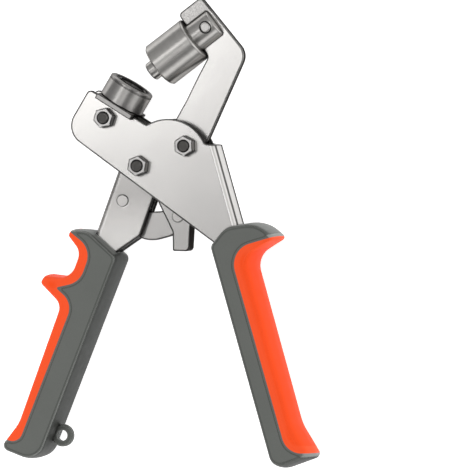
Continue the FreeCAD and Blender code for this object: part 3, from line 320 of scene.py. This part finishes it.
def sheet_steel(name, colour, grain_turn, side_shade_part=0.95, fold=0.3 * MM, rim_reach=1.2 * MM,
                upright=(0.2, 0.5), glance=DULL_GLANCE, half_depth=None, own_tone_and_light=None):
    """Rolled sheet with fine grain, darkened upright faces and a dark line along its edges.

    The upright faces are partly their duller sheared finish and partly painted shade, and the
    line along the edges is painted shade. With a half_depth, the darkening of the upright faces
    keeps to the sheet's bends, where it is a painted dark reflection.
    """
    material, tree, shader = new_material(name)
    place = object_place(tree)
    grain = noise(tree, stretched(tree, place, (900.0, 9000.0, 2500.0), grain_turn), 1.0)
    mottle = noise(tree, place, 1100.0, roughness=0.6)
    cloud = noise(tree, place, 45.0, detail=2.0)
    toned = varied(tree, colour, mottle, 0.95, 1.04)
    streaked = varied(tree, toned, grain, 0.96, 1.03)
    surface = varied(tree, streaked, cloud, 0.97, 1.02)
    # Each piece's own mark: the arm's darker mottled tip, or the lever's painted light.
    if own_tone_and_light is not None:
        surface = own_tone_and_light(tree, place, surface)

    # Painted shade: upright faces take the dark sheared-face colour, partly their duller sheared finish;
    # on a folded sheet only along its bends, as a painted dark reflection.
    side_shade = math_node(tree, "MULTIPLY", side_mask(tree, *upright), side_shade_part)
    if half_depth is not None:
        side_shade = math_node(tree, "MULTIPLY", side_shade, bend_mask(tree, place, half_depth))
    side_shaded = mixed(tree, side_shade, surface, SHEARED_FACE_SHADE)
    # Painted shade: a dark line along every outer edge, patchy with the cloud noise.
    edge_patchiness = ramp(tree, cloud, [(0.25, 0.98), (0.75, 0.88)])
    edge_shade = math_node(tree, "MULTIPLY", edge_mask(tree, rim_reach), edge_patchiness)
    edged = mixed(tree, edge_shade, side_shaded, SHEET_EDGE_SHADE)
    tree.links.new(seam_shade(tree, edged, 1.1 * MM, 0.12), shader.inputs["Base Color"])

    shader.inputs["Metallic"].default_value = 1.0
    shader.inputs["Specular Tint"].default_value = (*grey(glance), 1.0)
    rough = scaled_and_raised(tree, mottle, 0.06, 0.23)
    if half_depth is not None:
        rough = dark_bends(tree, shader, side_shade, glance, rough)
    tree.links.new(rough, shader.inputs["Roughness"])

    grain_height = ramp(tree, grain, [(PATTERN_LOW, 0.0), (PATTERN_HIGH, 1.0)])
    mottle_height = ramp(tree, mottle, [(0.25, 0.0), (0.75, 1.0)])
    height = mixed(tree, 0.5, grain_height, mottle_height)
    bump(tree, shader, height, 0.0025 * MM, 0.6, worn_corners(tree, fold))
    return material


def turned_steel(name, colour, axis_point, axis_angle, rim_part=0.95, seam=0.12, roughness=0.33):
    """Lathe-turned steel: fine rings round an axis that lies in the plane of the tool."""
    material, tree, shader = new_material(name)
    place = object_place(tree)
    shifted = add(tree, "ShaderNodeMapping", {"Vector": place, "Location": -axis_point},
                  vector_type="POINT").outputs["Vector"]
    along = stretched(tree, shifted, (1.0, 0.0, 0.0), -axis_angle)
    rings = noise(tree, along, 5200.0, detail=2.0)
    bands = noise(tree, along, 420.0, detail=2.0)
    mottle = noise(tree, place, 330.0, detail=4.0, roughness=0.6)
    toned = varied(tree, colour, rings, 0.92, 1.05)
    banded = varied(tree, toned, bands, 0.96, 1.03)
    stained = varied(tree, banded, mottle, 0.94, 1.03)
    # Painted shade: a dark line round each outer edge of the turned piece.
    rim = math_node(tree, "MULTIPLY", edge_mask(tree, 0.8 * MM), rim_part)
    edged = mixed(tree, rim, stained, TURNED_EDGE_SHADE)
    tree.links.new(seam_shade(tree, edged, 1.4 * MM, seam), shader.inputs["Base Color"])

    shader.inputs["Metallic"].default_value = 1.0
    shader.inputs["Specular Tint"].default_value = (*grey(DULL_GLANCE), 1.0)
    ring_part = 0.14
    rough = scaled_and_raised(tree, rings, ring_part, roughness - ring_part / 2.0)
    tree.links.new(rough, shader.inputs["Roughness"])
    bump(tree, shader, rings, 0.008 * MM, 0.5, worn_corners(tree, 0.25 * MM))

    axis = (math.cos(axis_angle), math.sin(axis_angle), 0.0)
    surface = add(tree, "ShaderNodeNewGeometry").outputs["Normal"]
    groove = cross_product(tree, surface, cross_product(tree, shifted, axis))
    tree.links.new(groove, shader.inputs["Tangent"])
    shader.inputs["Anisotropic"].default_value = 0.85
    return material


def dark_steel(name):
    """Black-oxide fasteners with bright metal worn through at the corners."""
    material, tree, shader = new_material(name)
    mottle = noise(tree, object_place(tree), 900.0, detail=4.0, roughness=0.65)
    base = ramp(tree, mottle, [(PATTERN_LOW, OXIDE_DARK), (PATTERN_HIGH, OXIDE_LIGHT)])
    patches = ramp(tree, mottle, [(0.35, 0.0), (0.65, 0.3)])
    worn = math_node(tree, "MULTIPLY", edge_mask(tree, 0.6 * MM), patches)
    edged = mixed(tree, worn, base, OXIDE_WORN)
    tree.links.new(seam_shade(tree, edged, 1.0 * MM, 0.1), shader.inputs["Base Color"])
    shader.inputs["Metallic"].default_value = 0.85
    rough = scaled_and_raised(tree, mottle, 0.2, 0.32)
    tree.links.new(rough, shader.inputs["Roughness"])
    bump(tree, shader, mottle, 0.03 * MM, 0.6, worn_corners(tree, 0.35 * MM, samples=6))
    return material


def moulded(name, colour, gloss, side_shade_colour, highlight_colour, ridge_light, rim_light, steep, flat):
    """Moulded plastic or rubber with a fine spark-eroded grain, painted shade down its sides and
    painted highlights on its rims, ridges and faces towards the jaws.
    """
    material, tree, shader = new_material(name)
    place = object_place(tree)
    grain = noise(tree, place, 2400.0, roughness=0.6)
    cloud = noise(tree, place, 45.0)
    rubbed = noise(tree, place, 170.0, detail=4.0, roughness=0.6)
    toned = varied(tree, colour, grain, 0.95, 1.04)
    clouded = varied(tree, toned, cloud, 0.97, 1.03)
    # Painted light: upright faces that look towards the jaws are lighter.
    crest = math_node(tree, "MULTIPLY", facing_jaws(tree), 0.5)
    sided = mixed(tree, crest, side_shade_colour, highlight_colour)
    # Painted shade: upright sides take the darker side colour.
    shaped = mixed(tree, side_mask(tree, steep, flat), clouded, sided)
    # Painted highlight: a lighter colour near the outer edges.
    rim = math_node(tree, "MULTIPLY", edge_mask(tree, 4.5 * MM), rim_light)
    rim_lit = mixed(tree, rim, shaped, highlight_colour)
    lined = ridge_lines(tree, rim_lit, side_shade_colour, highlight_colour, ridge_light)
    tree.links.new(seam_shade(tree, lined, 1.6 * MM, 0.25), shader.inputs["Base Color"])
    rough = scaled_and_raised(tree, rubbed, 0.16, 0.43)
    tree.links.new(rough, shader.inputs["Roughness"])
    shader.inputs["Specular IOR Level"].default_value = gloss
    bump(tree, shader, grain, 0.04 * MM, 0.7)
    return material


def dress(material, *names):
    """Give CAD nodes a material."""
    for name in names:
        slots = nodes[name].data.materials
        slots.clear()
        slots.append(material)


def dress_sheet():
    """Pieces cut from sheet, and the rivets and the cross pin with their flat heads."""
    dress(sheet_steel("frame_steel", (0.56, 0.548, 0.535), FRAME_GRAIN, side_shade_part=0.85,
                      upright=(0.45, 0.62), glance=BRIGHT_GLANCE, half_depth=FRAME_HALF_DEPTH),
          "frame")
    dress(sheet_steel("lever_steel", (0.48, 0.469, 0.457), LEVER_ANGLE, fold=2.0 * MM,
                      upright=(0.55, 0.90), own_tone_and_light=lever_light_gradient),
          "lever")
    dress(sheet_steel("arm_steel", (0.56, 0.548, 0.535), ARM_GRAIN, own_tone_and_light=mottled_dark_tip),
          "jaw_arm")
    dress(sheet_steel("link_steel", (0.48, 0.47, 0.46), SPINE_ANGLE), "jaw_tail", "link")
    dress(sheet_steel("rivet_steel", (0.50, 0.488, 0.475), 0.0, rim_reach=0.5 * MM),
          "lever_link_pin", "jaw_link_pin", "jaw_tail_rivet")
    dress(sheet_steel("cross_pin_steel", (0.34, 0.333, 0.325), 0.0, rim_reach=0.35 * MM),
          "punch_pin")


def dress_turned():
    """Dies, their saddle, and the nuts, bushes, rings and spring."""
    dress(turned_steel("punch_steel", (0.41, 0.40, 0.385), PUNCH_POINT, PUNCH_ANGLE),
          "punch_holder", "punch_tip")
    dress(turned_steel("anvil_steel", (0.36, 0.35, 0.34), ANVIL_POINT, ANVIL_ANGLE, rim_part=0.6,
                       roughness=0.38),
          "anvil_body")
    dress(turned_steel("insert_steel", (0.26, 0.253, 0.246), ANVIL_POINT, ANVIL_ANGLE),
          "anvil_insert")
    dress(turned_steel("saddle_steel", (0.30, 0.293, 0.285), ANVIL_POINT, ANVIL_ANGLE,
                       rim_part=0.9, seam=0.2),
          "anvil_saddle")
    dress(turned_steel("pin_steel", (0.56, 0.55, 0.54), ANVIL_POINT, 0.0),
          "hex_nuts", "lever_bush", "jaw_bush", "jaw_spacers", "link_spacers", "return_spring")
    dress(dark_steel("dark_steel"), "hex_bolts")


def dress_grips():
    """Hard grey mouldings and their soft orange inlays."""
    dress(moulded("grey_plastic", (0.122, 0.128, 0.119), gloss=0.12,
                  side_shade_colour=(0.030, 0.032, 0.029), highlight_colour=(0.30, 0.31, 0.295),
                  ridge_light=0.75, rim_light=0.0, steep=0.2, flat=0.62),
          "right_grip", "left_grip")
    dress(moulded("orange_rubber", (0.88, 0.074, 0.013), gloss=0.05,
                  side_shade_colour=(0.80, 0.060, 0.012), highlight_colour=(0.90, 0.105, 0.036),
                  ridge_light=0.0, rim_light=0.55, steep=0.0, flat=0.45),
          "right_grip_inlay", "left_grip_inlay")


def winding_spring():
    """A copy of the spring stands in its place, and the spring node is hidden."""
    node = nodes["return_spring"]
    spring = bpy.data.objects.new("return_spring_wound", node.data.copy())
    scene.collection.objects.link(spring)
    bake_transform(spring)
    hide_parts("return_spring")


# ---- floor ----
FLOOR_SIZE = 3.0
FLOOR_GAP = 0.1 * MM


def make_floor():
    """Pale paper, a hair below the tool so that no two faces share a plane."""
    bpy.ops.mesh.primitive_plane_add(size=FLOOR_SIZE, location=(0.0, 0.0, cad_low.z - FLOOR_GAP))
    floor = bpy.context.object
    floor.name = "floor"
    material, tree, shader = new_material("paper")
    fibres = noise(tree, object_place(tree), 6.0, detail=2.0)
    shade = ramp(tree, fibres, [(PATTERN_LOW, 0.90), (PATTERN_HIGH, 0.92)])
    tree.links.new(shade, shader.inputs["Base Color"])
    shader.inputs["Roughness"].default_value = 0.95
    shader.inputs["Specular IOR Level"].default_value = 0.0
    shader.inputs["Emission Color"].default_value = (1.0, 1.0, 1.0, 1.0)
    shader.inputs["Emission Strength"].default_value = 0.75
    floor.data.materials.append(material)


# ---- light ----
# Brightness round the tool, on an arc across it: 0 and 1 are its two horizons, 0.5 is overhead.
ARC_ACROSS = (0.6, -0.8, 0.0)
SOFT_BOXES = [
    (0.02, 0.16), (0.10, 0.18), (0.22, 0.26), (0.33, 0.46), (0.42, 0.44), (0.52, 0.44),
    (0.585, 0.18), (0.65, 0.08), (0.74, 0.18), (0.83, 1.1), (0.90, 0.95), (0.95, 0.22),
    (0.99, 0.10),
]
# Brightness along the tool: 0 lies beyond the grips and 1 beyond the jaws.
FLAGS = [
    (0.04, 1.0), (0.08, 2.2), (0.13, 1.0), (0.19, 0.40),
    (0.33, 0.50), (0.45, 1.0), (0.66, 1.0), (0.74, 2.2),
]
SKY_STRENGTH = 1.25

# Name, offset from the middle of the tool in metres, width in metres and power in watts.
LIGHTS = [
    ("key", (-0.335, 0.190, 0.85), 0.28, 0.755),
    ("fold", (0.22, 0.13, 0.967), 0.35, 0.8),
    ("fill", (1.15, 0.12, 0.36), 1.5, 5.5),
    ("wash", (-0.60, -0.60, 0.68), 0.8, 5.0),
]


def make_world():
    """Soft boxes: bright overhead, a dark gap beside it, a bright low box and a dark horizon."""
    world = bpy.data.worlds.new("studio")
    world.use_nodes = True
    scene.world = world
    tree = world.node_tree
    sky = next(node for node in tree.nodes if node.type == "BACKGROUND")
    direction = add(tree, "ShaderNodeTexCoord").outputs["Generated"]
    parts = add(tree, "ShaderNodeSeparateXYZ", {0: direction})
    across = dot_product(tree, direction, ARC_ACROSS)
    angle = math_node(tree, "ARCTAN2", across, parts.outputs["Z"])
    boxes = ramp(tree, scaled_and_raised(tree, angle, 1.0 / math.pi, 0.5), SOFT_BOXES)
    flags = ramp(tree, scaled_and_raised(tree, parts.outputs["Y"], 0.5, 0.5), FLAGS)
    tree.links.new(multiplied(tree, boxes, flags), sky.inputs["Color"])
    sky.inputs["Strength"].default_value = SKY_STRENGTH


def make_light(name, offset, size, power):
    """A round soft light that looks at the middle of the tool."""
    data = bpy.data.lights.new(name, "AREA")
    data.shape = "DISK"
    data.size = size
    data.energy = power
    light = bpy.data.objects.new(name, data)
    scene.collection.objects.link(light)
    middle = (cad_low + cad_high) / 2.0
    light.location = middle + offset
    light.rotation_mode = "QUATERNION"
    light.rotation_quaternion = offset.to_track_quat("Z", "Y")


dress_sheet()
dress_turned()
dress_grips()
winding_spring()
make_camera()
make_floor()
make_world()
for light_name, light_offset, light_size, light_power in LIGHTS:
    make_light(light_name, Vector(light_offset), light_size, light_power)
scene.view_settings.view_transform = "Standard"
